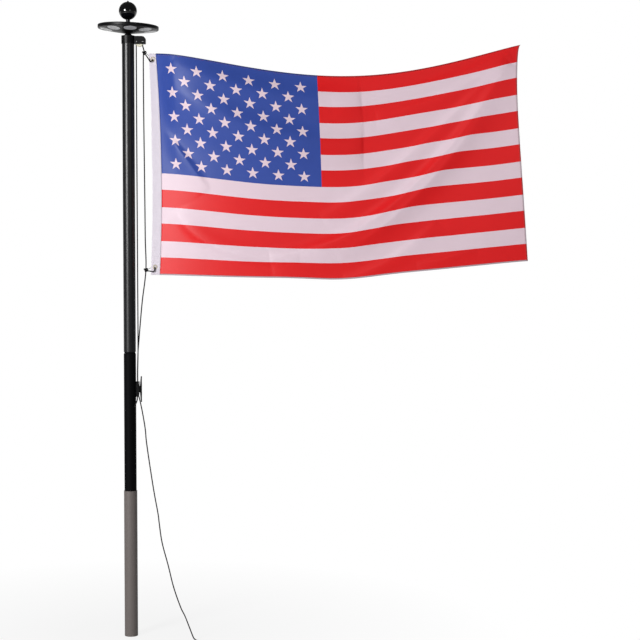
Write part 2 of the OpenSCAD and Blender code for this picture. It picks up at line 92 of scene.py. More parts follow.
def meshFrom(name, points, uv=None, closed=False, capped=False):
    # A grid of rows and columns of points: quads join neighbours, closed joins the last column to the first,
    # capped fills the first and last rows, and a closed shape is turned so that its volume is positive
    rows, cols = points.shape[:2]
    i, j = (a.ravel() for a in np.meshgrid(np.arange(rows - 1), np.arange(cols if closed else cols - 1),
                                           indexing="ij"))
    k = (j + 1) % cols
    quads = np.stack([i * cols + j, i * cols + k, (i + 1) * cols + k, (i + 1) * cols + j], 1)
    corner = [(i, j), (i, j + 1), (i + 1, j + 1), (i + 1, j)]
    flat = points.reshape(-1, 3)
    if closed:
        a, b, c, d = (flat[quads[:, q]] for q in range(4))
        if np.einsum("ij,ij->", a, np.cross(b, c) + np.cross(c, d)) < 0:
            quads, corner = quads[:, ::-1], corner[::-1]
    faces = quads.tolist()
    if capped:
        first, last = list(range(cols)), list(range((rows - 1) * cols, rows * cols))
        turned = quads[0][0] == 0
        faces += [first[::-1] if turned else first, last if turned else last[::-1]]
    mesh = bpy.data.meshes.new(name)
    mesh.from_pydata(flat.tolist(), [], faces)
    if uv is not None:
        layer = mesh.uv_layers.new(name="flat")
        wide = np.concatenate([np.stack([uv[r, c] for r, c in corner], 1).reshape(-1, 2),
                               np.zeros((2 * cols if capped else 0, 2))])
        layer.data.foreach_set("uv", wide.astype(np.float32).ravel())
    mesh.polygons.foreach_set("use_smooth", [True] * len(mesh.polygons))
    mesh.update()
    piece = bpy.data.objects.new(name, mesh)
    scene.collection.objects.link(piece)
    return piece


def tubeRings(path, radius, sides, up):
    # Rings square to the path: its centre plus radius times (cos a, sin a) on two axes, the first square to
    # up
    along = unit(np.gradient(path, axis=0))
    across = unit(np.cross(np.broadcast_to(up, path.shape), along))
    other = np.cross(along, across)
    a = np.arange(sides) * 2 * np.pi / sides
    r = np.broadcast_to(radius, (len(path), sides))[..., None]
    ring = np.cos(a)[None, :, None] * across[:, None] + np.sin(a)[None, :, None] * other[:, None]
    return path[:, None] + r * ring


def place(piece, body, finish, slotName, *nodes):
    # Rides on its body, wears its finish and stands for its CAD nodes
    piece.data.materials.clear()
    piece.data.materials.append(finish)
    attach(piece, body)
    if nodes:
        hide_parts(*nodes)
    return piece


# ---- finishes ----

def linear(code):
    c = np.array([int(code[k:k + 2], 16) for k in (1, 3, 5)]) / 255
    return (*np.where(c <= 0.04045, c / 12.92, ((c + 0.055) / 1.055) ** 2.4).tolist(), 1.0)


def add(tree, kind, inputs=(), **settings):
    made = tree.nodes.new("ShaderNode" + kind)
    for name, value in settings.items():
        setattr(made, name, value)
    for key, value in (inputs.items() if isinstance(inputs, dict) else enumerate(inputs)):
        if isinstance(value, bpy.types.Node):
            value = value.outputs[0]
        if isinstance(value, bpy.types.NodeSocket):
            tree.links.new(value, made.inputs[key])
        elif value is not None:
            made.inputs[key].default_value = value
    return made


def newFinish(name, **fixed):
    # A Principled finish; fixed holds its constant sockets, with underscores for the spaces in their names
    made = bpy.data.materials.new(name)
    made.use_nodes = True
    tree = made.node_tree
    shader = tree.nodes["Principled BSDF"]
    for key, value in fixed.items():
        shader.inputs[key.replace("_", " ")].default_value = value
    return made, tree, shader


def coated(name, low, high, scale, rough, bump=0.0, depth=0.0001, stretch=(1, 1, 1), **fixed):
    # Colour and roughness drift together with a noise, and the same noise raises the skin
    made, tree, shader = newFinish(name, **fixed)
    spot = add(tree, "Mapping", [add(tree, "TexCoord").outputs["Object"], None, None, stretch])
    noise = add(tree, "TexNoise", {"Vector": spot, "Scale": scale, "Detail": 3.0, "Roughness": 0.6})
    tint = add(tree, "Mix", {"Factor": noise, 6: linear(low), 7: linear(high)}, data_type="RGBA")
    polish = add(tree, "MapRange", [noise, 0.3, 0.7, rough[0], rough[1]])
    tree.links.new(tint.outputs[2], shader.inputs["Base Color"])
    tree.links.new(polish.outputs[0], shader.inputs["Roughness"])
    if bump:
        lift = add(tree, "Bump", {"Strength": bump, "Distance": depth, "Height": noise})
        tree.links.new(lift.outputs[0], shader.inputs["Normal"])
    return made


# Aluminium tube, powder coated: satin black with a fine orange peel of about 1.5 mm
powderCoat = coated("powderCoatedTube", "#0d0d0f", "#121214", 650, (0.31, 0.37), 0.12, 0.0002)
# The lower tube, which stands in the sleeve: the same coat, darker and duller
dullCoat = coated("powderCoatedTubeDull", "#050506", "#09090b", 650, (0.5, 0.6), 0.12, 0.0002,
                  Specular_IOR_Level=0.06)
# ABS, injection moulded with a spark-eroded texture: matt black with a fine even grain
mouldedAbs = coated("mouldedAbs", "#070708", "#0c0c0e", 1400, (0.34, 0.44), 0.2, 0.0001,
                    Specular_IOR_Level=0.2)
# Glass-filled nylon, moulded: a little greyer and duller than the ABS
filledNylon = coated("filledNylon", "#08080a", "#0d0d0f", 900, (0.42, 0.55), 0.2, 0.0001,
                     Specular_IOR_Level=0.12)
# PVC pipe, extruded: warm grey with long fine draw lines down its length
extrudedPvc = coated("extrudedPvc", "#655e5b", "#6d6663", 420, (0.36, 0.46), 0.15, 0.0002, (1, 1, 0.02))
# Phenolic ball, moulded and polished: deep gloss black
polishedBall = coated("polishedPhenolic", "#040405", "#07070a", 60, (0.07, 0.1), Coat_Weight=0.4,
                      Coat_Roughness=0.05)
# Steel, turned and zinc plated: bright with a soft cloudy bloom
platedSteel = coated("platedSteel", "#b9bbbd", "#d8d9da", 500, (0.22, 0.36), 0.1, 0.0001, Metallic=1.0)
# Steel, oil blacked: dark with worn lighter patches
blackedSteel = coated("blackedSteel", "#2a2a2c", "#3c3c3f", 350, (0.35, 0.5), 0.1, 0.0001, Metallic=1.0)
# Nylon, turned: cream and slightly waxy
turnedNylon = coated("turnedNylon", "#d9cfb6", "#e8e0cb", 300, (0.38, 0.5), 0.1, 0.0001,
                     Subsurface_Weight=0.1)
# Brass, pressed: pale and dull under a light tarnish
pressedBrass = coated("pressedBrass", "#b5aa93", "#d2cabb", 260, (0.35, 0.5), 0.1, 0.0001, Metallic=1.0)
# Spring wire, dip coated: black with a slight gloss
coatedWire = coated("dipCoatedWire", "#070708", "#0d0d0f", 800, (0.4, 0.5), 0.1, 0.0001,
                    Specular_IOR_Level=0.2)
# Stainless wire, drawn: grey with fine lines along it
drawnWire = coated("drawnWire", "#8d8f92", "#a9abad", 600, (0.28, 0.4), 0.1, 0.0001, Metallic=1.0)
# Fibreglass board with a white solder mask
maskedBoard = coated("maskedBoard", "#dcdcd6", "#eeeee8", 200, (0.3, 0.4))
# Acrylic lens, moulded and frosted: a pale milky grey that lets the board glow through
frostedLens = coated("frostedAcrylic", "#e2e3e5", "#eceded", 150, (0.28, 0.36), 0.15, 0.0001,
                     Transmission_Weight=0.3, IOR=1.49)

cells = {"finger": 0.0024, "fingerWidth": 0.00018, "bus": 0.036, "busStart": 0.052, "busWidth": 0.0007}


def solarFinish():
    # Monocrystalline silicon under a clear coat: blue black, with silver fingers 4.8 mm apart and a bus bar
    made, tree, shader = newFinish("siliconCell", Coat_Weight=1.0, Coat_Roughness=0.04, IOR=1.5)
    where = add(tree, "TexCoord").outputs["Object"]
    axes = add(tree, "SeparateXYZ", [where])
    reach = add(tree, "Math", [add(tree, "Math", [axes.outputs[0], 2.0], operation="POWER"),
                               add(tree, "Math", [axes.outputs[1], 2.0], operation="POWER")], operation="ADD")
    radius = add(tree, "Math", [reach, 0.5], operation="POWER")
    finger = add(tree, "Math", [radius, cells["finger"]], operation="PINGPONG")
    finger = add(tree, "Math", [finger, cells["fingerWidth"]], operation="LESS_THAN")
    bar = add(tree, "Math", [radius, cells["busStart"]], operation="SUBTRACT")
    bar = add(tree, "Math", [bar, cells["bus"]], operation="PINGPONG")
    bar = add(tree, "Math", [bar, cells["busWidth"]], operation="LESS_THAN")
    silver = add(tree, "Math", [finger, bar], operation="MAXIMUM")
    noise = add(tree, "TexNoise", {"Vector": where, "Scale": 90.0, "Detail": 2.0})
    silicon = add(tree, "Mix", {"Factor": noise, 6: linear("#0a1130"), 7: linear("#131f4a")},
                  data_type="RGBA")
    tint = add(tree, "Mix", {"Factor": silver, 6: silicon.outputs[2], 7: linear("#9ea3aa")}, data_type="RGBA")
    tree.links.new(tint.outputs[2], shader.inputs["Base Color"])
    tree.links.new(add(tree, "MapRange", [silver, 0, 1, 0.25, 0.45]).outputs[0], shader.inputs["Roughness"])
    return made


braid = {"along": 160.0, "around": 4.0, "height": 0.0004}


def ropeFinish():
    # Polyester, braided and dyed black: crossing plaits, each a rounded ridge, drawn coarse so that they show;
    # the colour is lighter on the ridges and darker between them, painted shade
    made, tree, shader = newFinish("braidedPolyester", Roughness=0.75, Sheen_Weight=0.03, Sheen_Roughness=0.5,
                                   Specular_IOR_Level=0.25)
    spot = add(tree, "SeparateXYZ", [add(tree, "TexCoord").outputs["UV"]])
    along = add(tree, "Math", [spot.outputs[0], braid["along"]], operation="MULTIPLY")
    around = add(tree, "Math", [spot.outputs[1], braid["around"]], operation="MULTIPLY")
    one = add(tree, "Math", [around, along], operation="ADD")
    two = add(tree, "Math", [around, along], operation="SUBTRACT")
    ridges = [add(tree, "Math", [way, 0.5], operation="PINGPONG") for way in (one, two)]
    ridges = [add(tree, "Math", [ridge, 2.0], operation="MULTIPLY") for ridge in ridges]
    turns = [add(tree, "Math", [way], operation="FLOOR") for way in (one, two)]
    odd = add(tree, "Math", [add(tree, "Math", turns, operation="ADD"), 1.0], operation="PINGPONG")
    plait = add(tree, "Mix", {"Factor": odd, "A": ridges[0], "B": ridges[1]}, data_type="FLOAT")
    # Painted shade: darker black in the grooves between the plaits, lighter on their ridges
    tint = add(tree, "Mix", {"Factor": plait, 6: linear("#060607"), 7: linear("#121214")}, data_type="RGBA")
    lift = add(tree, "Bump", {"Strength": 0.6, "Distance": braid["height"], "Height": plait})
    tree.links.new(tint.outputs[2], shader.inputs["Base Color"])
    tree.links.new(lift.outputs[0], shader.inputs["Normal"])
    return made


ropeBraid = ropeFinish()
solarCell = solarFinish()

# ---- halyard ----

halyard = {"diameter": 4.8 * mm, "sides": 16, "ring": 1.4 * mm, "lay": 15 * mm, "plaits": 4, "bulge": 0.05}


def ropeAlong(name, path, up):
    # A tube of radius R (1 + b cos(na + ks) cos(na - ks)): two sets of plaits bulge where they cross
    path, s = evenly(path, halyard["ring"])
    up = np.array(up, float)
    if up.ndim == 2:
        up = up[np.linspace(0, len(up) - 1, len(path)).astype(int)]
    a = halyard["plaits"] * np.arange(halyard["sides"]) * 2 * np.pi / halyard["sides"]
    k = 2 * np.pi * s[:, None] / halyard["lay"]
    radius = halyard["diameter"] / 2 * (1 + halyard["bulge"] * np.cos(a + k) * np.cos(a - k))
    uv = np.stack(np.meshgrid(s, np.arange(halyard["sides"] + 1) / halyard["sides"], indexing="ij"), -1)
    piece = meshFrom(name, tubeRings(path, radius, halyard["sides"], up), uv, closed=True, capped=True)
    return place(piece, "pole", ropeBraid, "black_rope")


# The free tail: down from the last turn on the cleat, out over the floor and into a flat coil
tailRoute = [(36.4, -9, 998.6), (43, -10, 974), (54, -13, 920), (64, -17, 860), (68, -20, 815),
             (80, -26, 732), (99, -34, 612), (117, -41, 516), (122, -44, 478), (134, -50, 398),
             (160, -57, 302), (182, -63, 215), (211, -69, 133), (229, -72, 97), (251, -77, 42),
             (264, -84, 12), (274, -92, 3.4), (288, -106, 2.4), (313, -129.8, 2.4)]
coil = {"at": (296, -149), "inner": 19.6, "outer": 24.4, "low": 2.4, "high": 7.2, "turns": 3.86, "enter": 47}


def coilRoute():
    # Clockwise turns: radius and height step between four neighbouring places, which are outside low, inside
    # low, inside high and outside high
    t = np.linspace(0, coil["turns"], int(coil["turns"] * 40))
    inner, outer, low, high = (coil[k] for k in ("inner", "outer", "low", "high"))
    radius = np.interp(t, [0, 0.9, 1.1, 2.9, 3.1, 9], [outer, outer, inner, inner, outer, outer])
    height = np.interp(t, [0, 1.9, 2.1, 9], [low, low, high, high])
    a = np.radians(coil["enter"] - 360 * t)
    return np.stack([coil["at"][0] + radius * np.cos(a), coil["at"][1] + radius * np.sin(a), height], 1)


tailPath = np.vstack([smoothRoute(tailRoute, 6)[:-1], coilRoute(), [[327, -147.5, 5]]]) * mm
tailPath, tailRun = evenly(tailPath, 4 * mm)
lying = ease((0.14 - tailPath[:, 2:3]) / 0.12)
tailUp = (1 - lying) * np.array([0, 1, 0]) + lying * np.array([0, 0, 1])
halyardTail = ropeAlong("halyardTail", tailPath, tailUp)
print("tail length", round(float(tailRun[-1]), 3))

overhand = {"size": 2.6 * mm, "tilt": 75, "below": 1 * mm, "line": 0.94, "sides": 12}


def trefoil(name, centre, size, tilt, node):
    # A tight overhand knot: (sin t + 2 sin 2t, cos t - 2 cos 2t, -1.3 sin 3t), scaled and tipped about X
    t = np.linspace(0, 2 * np.pi, 90)
    x, y = np.sin(t) + 2 * np.sin(2 * t), np.cos(t) - 2 * np.cos(2 * t)
    p = np.stack([x, y, -1.3 * np.sin(3 * t)], 1) * size
    c, q = math.cos(math.radians(tilt)), math.sin(math.radians(tilt))
    p = p @ np.array([[1, 0, 0], [0, c, -q], [0, q, c]]).T + np.array(centre)
    points = tubeRings(p, halyard["diameter"] / 2 * overhand["line"], overhand["sides"], (0.3, 0.25, 1))
    around = np.arange(overhand["sides"] + 1) / overhand["sides"]
    uv = np.stack(np.meshgrid(t * size * 3, around, indexing="ij"), -1)
    piece = meshFrom(name, points, uv, closed=True, capped=True)
    return place(piece, "pole", ropeBraid, "black_rope", node)


def middleOf(node):
    low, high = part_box(node)
    return np.array((low + high) / 2)


tailKnot = trefoil("tailKnot", middleOf("tail_knot"), 0.95 * mm, 20, "tail_knot")
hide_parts("halyard_tail", "halyard_coil")

# The hauling loop: up the inner fall, over the sheave and down the outer fall past both knots
cleatZ = float(middleOf("cleat")[2]) / mm
sheaveAt = middleOf("sheave") / mm
knotHigh = np.array((66, 0, 2404.0))
knotLow = np.array((68, 0, 1518.0))
wrapTop = cleatZ + 32
wrapX = 29.2
skin = 25
pitch = 12.7
apart = 2.7


def between(share, high, low):
    return high + (low - high) * share


innerFall = [(wrapX + 2.4, apart, wrapTop), (skin + 6.5, apart, wrapTop + 40),
             (skin + 8.6, apart, wrapTop + 150), (skin + 8.6, 0.6, 1498), (sheaveAt[0] - pitch, 0, 1898),
             (sheaveAt[0] - pitch, 0, 2150), (sheaveAt[0] - pitch, 0, 2400),
             (sheaveAt[0] - pitch, 0, sheaveAt[2])]
outerFall = [(sheaveAt[0] + pitch, 0, sheaveAt[2]), (sheaveAt[0] + pitch + 0.4, 0, sheaveAt[2] - 8),
             (knotHigh[0] - 3, 0, knotHigh[2] + 14), tuple(knotHigh), (skin + 37, 0, knotHigh[2] - 16),
             (skin + 37, 0, 2209), (skin + 38, 0, 2050), (skin + 40, 0, 1801), (skin + 41, 0, 1642),
             tuple(knotLow), (skin + 28, -1, between(0.27, 1518, wrapTop)),
             (skin + 20, -1.8, between(0.45, 1518, wrapTop)), (skin + 13, -apart, between(0.63, 1518, wrapTop)),
             (skin + 9, -apart, between(0.74, 1518, wrapTop)), (skin + 6.5, -apart, wrapTop + 40),
             (wrapX + 2.4, -apart, wrapTop)]
arc = np.linspace(180, 0, 24)[1:-1] * np.pi / 180
overSheave = np.stack([sheaveAt[0] + pitch * np.cos(arc), 0 * arc, sheaveAt[2] + pitch * np.sin(arc)], 1)
loop = np.vstack([smoothRoute(innerFall, 6), overSheave, smoothRoute(outerFall, 6)]) * mm
halyardLoop = ropeAlong("halyardLoop", loop, (0, 1, 0))
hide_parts("halyard_left_fall", "halyard_over_sheave", "halyard_right_fall")

# Round the cleat's post, then the working end leaves downwards at the front
turn = np.linspace(0, 1.25, 160)
a = np.pi / 2 + 2 * np.pi * turn


def bent(x, power):
    return np.sign(x) * np.abs(x) ** power


wrapPath = [wrapX + 2.4 + 5.2 * turn, 9 * bent(np.cos(a), 0.5), cleatZ + 30 * bent(np.sin(a), 0.8)]
wrapPath = np.vstack([np.stack(wrapPath, 1), [[37, -9, cleatZ - 20], [36.4, -9, cleatZ - 27.4]]]) * mm
halyardWraps = ropeAlong("halyardWraps", wrapPath, (1, 0, 0))
shortEnd = smoothRoute([(skin + 6, -9, cleatZ - 20), (skin + 6, -13, cleatZ - 42),
                        (skin + 2, -17, cleatZ - 56), (skin - 5, -21, cleatZ - 72)], 8) * mm
ropeAlong("halyardEnd", shortEnd, (0, 1, 0))
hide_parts("halyard_wraps")
for name, spot, node in (("knotTop", knotHigh, "knot_upper"), ("knotFoot", knotLow, "knot_lower")):
    trefoil(name, spot * mm - (0, 0, overhand["below"]), overhand["size"], overhand["tilt"], node)
print("halyard made")

# ---- snap hooks ----

hook = {"wire": 2.4 * mm, "gate": 1.0 * mm, "sides": 14}


def hookRoute(knot, eye, low):
    # Low in front of the header, then up and back through the grommet
    x, _, z = eye
    return smoothRoute([knot + (3, -3, -6), knot + (eye - knot) * 0.35 + (0, -6, -9), (x - 11, -8, z - low),
                        (x - 4, -8, z - low * 0.9), (x - 1, -6, z - low * 0.45), (x - 1, -3, z - 2.6),
                        (x - 1, 2.6, z - 1.2), (x - 4, 6, z + 1)], 10) * mm


def wireFrom(name, path, radius, finish, slotName, *nodes):
    # A round wire with domed ends: the radius closes as a quarter circle over the last radius of length
    path, s = evenly(path, radius * 0.35)
    end = np.minimum(s, s[-1] - s)
    r = radius * np.sqrt(np.clip(1 - np.clip(1 - end / radius, 0, 1) ** 2, 1e-4, 1))
    points = tubeRings(path, r[:, None], hook["sides"], (0.25, 0.1, 1))
    return place(meshFrom(name, points, closed=True, capped=True), "pole", finish, slotName, *nodes)


def snapHook(label, knot, eye, node, low):
    wireFrom("snapHook" + label, hookRoute(knot, eye, low), hook["wire"], coatedWire, "black_hook", node)
    gate = smoothRoute([knot + (3, 4, 0), knot + (eye - knot) * 0.5 + (0, 6.2, 1.5),
                        (eye[0] - 7, 6.4, eye[2] + 1)], 10) * mm
    wireFrom("snapGate" + label, gate, hook["gate"], drawnWire, "grey_wire", node.replace("hook", "gate"))


snapHook("Top", knotHigh, middleOf("grommet_upper") / mm, "snap_hook_upper", 10)
snapHook("Foot", knotLow, middleOf("grommet_lower") / mm, "snap_hook_lower", 19)
print("hooks made")

# ---- flag ----

flag = {"hoist": 0.113, "top": 2.400, "fly": 1.489, "drop": 0.902, "sag": 0.112, "rise": 0.036,
        "footRise": 0.0575, "footSag": 0.0335, "footLow": 0.0015, "footDip": 0.012, "dipReach": 0.107,
        "footShift": 0.013, "footExtra": 0.018, "bulge": 0.0145, "dip": 0.019, "fold": 0.045, "wave": 0.012,
        "settle": 0.010, "drawn": 0.014, "pullReach": 0.16, "red": 0.0797, "canton": 0.4396,
        "printed": 1.497, "thread": 0.0009, "thick": 0.0006, "hem": 0.011}
# Each crease: start, middle and end as shares of the fly and the drop, half width above the crest, that below
# it as a multiple, height of its ridge, and its pull
creases = [
    ((0.00, 0.00), (0.21, 0.105), (0.56, 0.12), 0.070, 1.4, 0.034, 0.000),
    ((0.48, 0.13), (0.73, 0.10), (0.99, 0.02), 0.024, 2.3, 0.008, 0.002),
    ((0.60, 0.21), (0.80, 0.16), (0.98, 0.04), 0.024, 2.3, 0.008, 0.002),
    ((0.00, 0.10), (0.20, 0.27), (0.56, 0.35), 0.080, 1.4, 0.042, 0.000),
    ((0.00, 0.34), (0.06, 0.45), (0.13, 0.60), 0.016, 3.0, 0.010, 0.000),
    ((0.04, 0.70), (0.16, 0.86), (0.38, 0.90), 0.050, 0.5, 0.010, 0.000),
    ((0.44, 0.69), (0.72, 0.39), (0.97, 0.06), 0.026, 2.4, 0.011, 0.003),
    ((0.30, 0.90), (0.66, 0.635), (0.98, 0.08), 0.034, 2.6, 0.024, 0.006),
    ((0.48, 0.88), (0.68, 0.68), (0.90, 0.30), 0.020, 2.3, 0.005, 0.003),
    ((0.50, 1.00), (0.63, 0.93), (0.76, 0.78), 0.020, 2.3, 0.007, 0.002),
    ((0.70, 0.97), (0.78, 0.95), (0.86, 0.92), 0.012, 2.3, 0.004, 0.001),
]


def creased(u, v):
    # How far the creases bring the cloth forward, and the shift in its own plane that draws both sides to
    # each crest: a crest is a bell curve of the distance to its line, narrow above and wide below, fading out
    # at both ends. Each line is a parabola, and its nearest place is found among 40 and then refined twice by
    # Gauss and Newton's step
    at = np.stack([u * flag["fly"], v * flag["drop"]], -1)
    lift, shift = np.zeros(u.shape), np.zeros(at.shape)
    t = np.linspace(0, 1, 40)[:, None]
    for start, middle, end, width, below, height, pull in creases:
        p, m, q = (np.array(x) * (flag["fly"], flag["drop"]) for x in (start, middle, end))
        slope, curve = 4 * m - 3 * p - q, 2 * (p + q) - 4 * m
        near = t[np.argmin(((at[..., None, :] - p - slope * t - curve * t ** 2) ** 2).sum(-1), -1)]
        for _ in range(2):
            way = slope + 2 * curve * near
            off = at - p - slope * near - curve * near ** 2
            step = (off * way).sum(-1, keepdims=True) / (way ** 2).sum(-1, keepdims=True)
            near = np.clip(near + step, 0, 1)
        way = unit(slope + 2 * curve * near)
        off = at - p - slope * near - curve * near ** 2
        down = np.stack([-way[..., 1], way[..., 0]], -1)
        d = (off * down).sum(-1)
        beyond = (off * way).sum(-1)
        fade = np.sin(np.pi * near[..., 0]) ** 0.6 * np.exp(-(beyond / width) ** 2)
        lift += height * np.exp(-(d / np.where(d < 0, width, below * width)) ** 2) * fade
        shift -= (pull * np.tanh(d / width) * np.exp(-(d / flag["pullReach"]) ** 2) * fade)[..., None] * down
    return lift, shift


def clothAt(u, v):
    # Between the sagging top edge and the foot. In depth one broad fold, s exp(1 - s), leans towards the
    # hoist, a shallow wave grows towards the fly, and the creases stand on both. Inside its edges the hoist
    # half settles lower, and the other half is drawn up towards the fly
    def sine(x, power):
        return np.maximum(0, np.sin(np.pi * np.clip(x, 0, 1))) ** power

    top = np.stack([flag["hoist"] + flag["fly"] * u,
                    flag["top"] + flag["rise"] * u - flag["sag"] * sine(np.abs(u) ** 1.1, 1.09)], -1)
    foot = np.stack([flag["hoist"] + flag["footShift"] + (flag["fly"] + flag["footExtra"]) * u,
                     flag["top"] - flag["drop"] - flag["footLow"] + flag["footRise"] * u
                     - flag["footSag"] * sine(np.abs(u) ** 0.945, 1.22)
                     - flag["footDip"] * (np.exp(-((u - 0.5) / flag["dipReach"]) ** 2)
                                          - math.exp(-(0.5 / flag["dipReach"]) ** 2))], -1)
    edge = (1 - v)[..., None] * top + v[..., None] * foot
    lift, shift = creased(u, v)
    free = ease(u / 0.05)
    bowed = flag["bulge"] * 4 * v * (1 - v) * (1 - u)
    x = edge[..., 0] + bowed - flag["dip"] * sine(np.abs(v) ** 0.5, 1) * u ** 4
    s = u / (0.14 + 0.2 * v)
    broad = flag["fold"] * s * np.exp(1 - s) + flag["wave"] * u * np.sin(2 * np.pi * (0.9 * u + 0.5 * v))
    inner = (4 * v * (1 - v)).clip(0) ** 0.5 * free
    z = edge[..., 1] - flag["settle"] * sine(np.abs(v) ** 1.7, 1) * sine(u / 0.6, 1) ** 2 \
        + flag["drawn"] * sine(np.abs(v) ** 0.8, 1) * sine(2 * u - 1, 1) ** 2
    return np.stack([x + shift[..., 0] * inner, -broad - lift * free, z - shift[..., 1] * inner], -1)


def clothUv(u, v):
    # Place on the flat print in metres: along the fly, and down from the top edge
    return np.stack([u * flag["fly"], v * flag["drop"]], -1)


def weaveOf(tree, uv, thread):
    # Plain weave: the product of two waves across each other, thread being its spacing in metres
    axes = add(tree, "SeparateXYZ", [uv])
    turns = [add(tree, "Math", [axes.outputs[k], math.pi / thread], operation="MULTIPLY") for k in (0, 1)]
    waves = [add(tree, "Math", [turn], operation="SINE") for turn in turns]
    return add(tree, "Math", [add(tree, "Math", waves, operation="MULTIPLY")], operation="ABSOLUTE")


stars = {"left": 0.062, "top": 0.060, "stepX": 0.0526, "stepY": 0.0482, "radius": 0.0262}


def starsOf(tree, x, y, left, top):
    # Stars on one lattice: r cos(72 - f) is under radius cos(72), f being the angle to the nearest point
    dx = add(tree, "Math", [x, left], operation="SUBTRACT")
    dy = add(tree, "Math", [top, y], operation="SUBTRACT")
    dx = add(tree, "Math", [dx, stars["stepX"], -stars["stepX"]], operation="WRAP")
    dy = add(tree, "Math", [dy, stars["stepY"], -stars["stepY"]], operation="WRAP")
    away = add(tree, "VectorMath", [add(tree, "CombineXYZ", [dx, dy])], operation="LENGTH").outputs["Value"]
    fold = add(tree, "Math", [add(tree, "Math", [dx, dy], operation="ARCTAN2"), math.pi / 5],
               operation="PINGPONG")
    side = add(tree, "Math", [2 * math.pi / 5, fold], operation="SUBTRACT")
    edge = add(tree, "Math", [away, add(tree, "Math", [side], operation="COSINE")], operation="MULTIPLY")
    return add(tree, "Math", [edge, stars["radius"] * math.cos(2 * math.pi / 5)], operation="LESS_THAN")


def within(tree, value, low, high):
    over = add(tree, "Math", [value, low], operation="GREATER_THAN")
    return add(tree, "Math", [over, add(tree, "Math", [value, high], operation="LESS_THAN")],
               operation="MULTIPLY")


def starField(tree, x, y):
    # Nine rows of six and five stars: two lattices, half a step apart
    even = starsOf(tree, x, y, stars["left"], stars["top"])
    odd = starsOf(tree, x, y, stars["left"] + stars["stepX"], stars["top"] + stars["stepY"])
    inX = within(tree, x, stars["left"], stars["left"] + 10 * stars["stepX"])
    inY = within(tree, y, stars["top"], stars["top"] + 8 * stars["stepY"])
    inside = add(tree, "Math", [inX, inY], operation="MULTIPLY")
    return add(tree, "Math", [even, add(tree, "Math", [odd, inside], operation="MULTIPLY")],
               operation="MAXIMUM")


def printFinish(name, paintedShadeFactor):
    # Polyester, woven and dye printed on one side: bright soft colours, slightly glossy along the threads.
    # The last argument scales the colour: 1 for the single cloth, and less for the rolled hem, where several
    # layers lie; their shade is painted into the colour
    made, tree, shader = newFinish(name, Roughness=0.44, Specular_IOR_Level=0.34)
    uv = add(tree, "UVMap").outputs[0]
    axes = add(tree, "SeparateXYZ", [uv])
    x, y = axes.outputs[0], axes.outputs[1]
    redDrop = flag["red"] * flag["drop"]
    pitchY = (flag["drop"] - 7 * redDrop) / 6 + redDrop
    stripe = add(tree, "Math", [add(tree, "Math", [y, 0.0001], operation="ADD"), pitchY], operation="MODULO")
    red = add(tree, "Math", [stripe, redDrop], operation="LESS_THAN")
    blue = [add(tree, "Math", [x, flag["canton"] * flag["printed"]], operation="LESS_THAN"),
            add(tree, "Math", [y, 3 * pitchY + redDrop], operation="LESS_THAN")]
    blue = add(tree, "Math", blue, operation="MULTIPLY")
    noise = add(tree, "TexNoise", {"Vector": uv, "Scale": 9.0, "Detail": 4.0, "Roughness": 0.6})
    shade = [add(tree, "Mix", {"Factor": noise, 6: linear(low), 7: linear(high)}, data_type="RGBA").outputs[2]
             for low, high in (("#dfc8d2", "#e5cfda"), ("#db0e12", "#e31115"), ("#2e4798", "#344ea3"))]
    tint = add(tree, "Mix", {"Factor": red, 6: shade[0], 7: shade[1]}, data_type="RGBA").outputs[2]
    tint = add(tree, "Mix", {"Factor": blue, 6: tint, 7: shade[2]}, data_type="RGBA").outputs[2]
    onBlue = add(tree, "Math", [blue, starField(tree, x, y)], operation="MULTIPLY")
    tint = add(tree, "Mix", {"Factor": onBlue, 6: tint, 7: shade[0]}, data_type="RGBA").outputs[2]
    weave = weaveOf(tree, uv, flag["thread"])
    # Painted shade: the colour is darkened between the threads of the weave, and over the whole hem by the last
    # argument
    depth = add(tree, "MapRange", [weave, 0, 1, 0.94 * paintedShadeFactor, paintedShadeFactor])
    tint = add(tree, "VectorMath", {0: tint, "Scale": depth}, operation="SCALE")
    tree.links.new(tint.outputs[0], shader.inputs["Base Color"])
    lift = add(tree, "Bump", {"Strength": 0.15, "Distance": 0.0002, "Height": weave})
    tree.links.new(lift.outputs[0], shader.inputs["Normal"])
    return made


printedCloth = printFinish("printedPolyester", 1.0)
# The rolled hem wears the same print, darkened with painted shade
shadedHemPrint = printFinish("printedPolyesterHemShaded", 0.55)

u, v = np.meshgrid(np.linspace(0, 1, 361), np.linspace(0, 1, 221), indexing="ij")
flagCloth = meshFrom("flagCloth", clothAt(u, v), clothUv(u, v))
place(flagCloth, "pole", printedCloth, "printed_cloth", "flag_cloth")
thickness = flagCloth.modifiers.new("cloth", "SOLIDIFY")
thickness.thickness, thickness.offset = flag["thick"], 0

roll = {"half": 0.0028, "thick": 0.0011, "lean": 0.8, "sides": 12}


def edgeRoll(name, u, v, inwards, finish):
    # A rolled hem: a flat oval carried along the cloth's edge, leaning inwards
    centre = clothAt(u, v)
    inner = clothAt(u + inwards[0] * flag["hem"] / 2, v + inwards[1] * flag["hem"] / 2)
    lean = unit(inner - centre)
    face = unit(np.cross(unit(np.gradient(centre, axis=0)), lean))
    a = np.arange(roll["sides"]) * 2 * np.pi / roll["sides"]
    across = roll["half"] * np.cos(a)[None, :, None] * lean[:, None]
    over = roll["thick"] * np.sin(a)[None, :, None] * face[:, None]
    points = (centre + lean * roll["half"] * roll["lean"])[:, None] + across + over
    uv = np.repeat(clothUv(u, v)[:, None], roll["sides"] + 1, 1)
    return place(meshFrom(name, points, uv, closed=True, capped=True), "pole", finish, "printed_cloth")


run, tall = np.linspace(0, 1, 400), np.linspace(0, 1, 260)
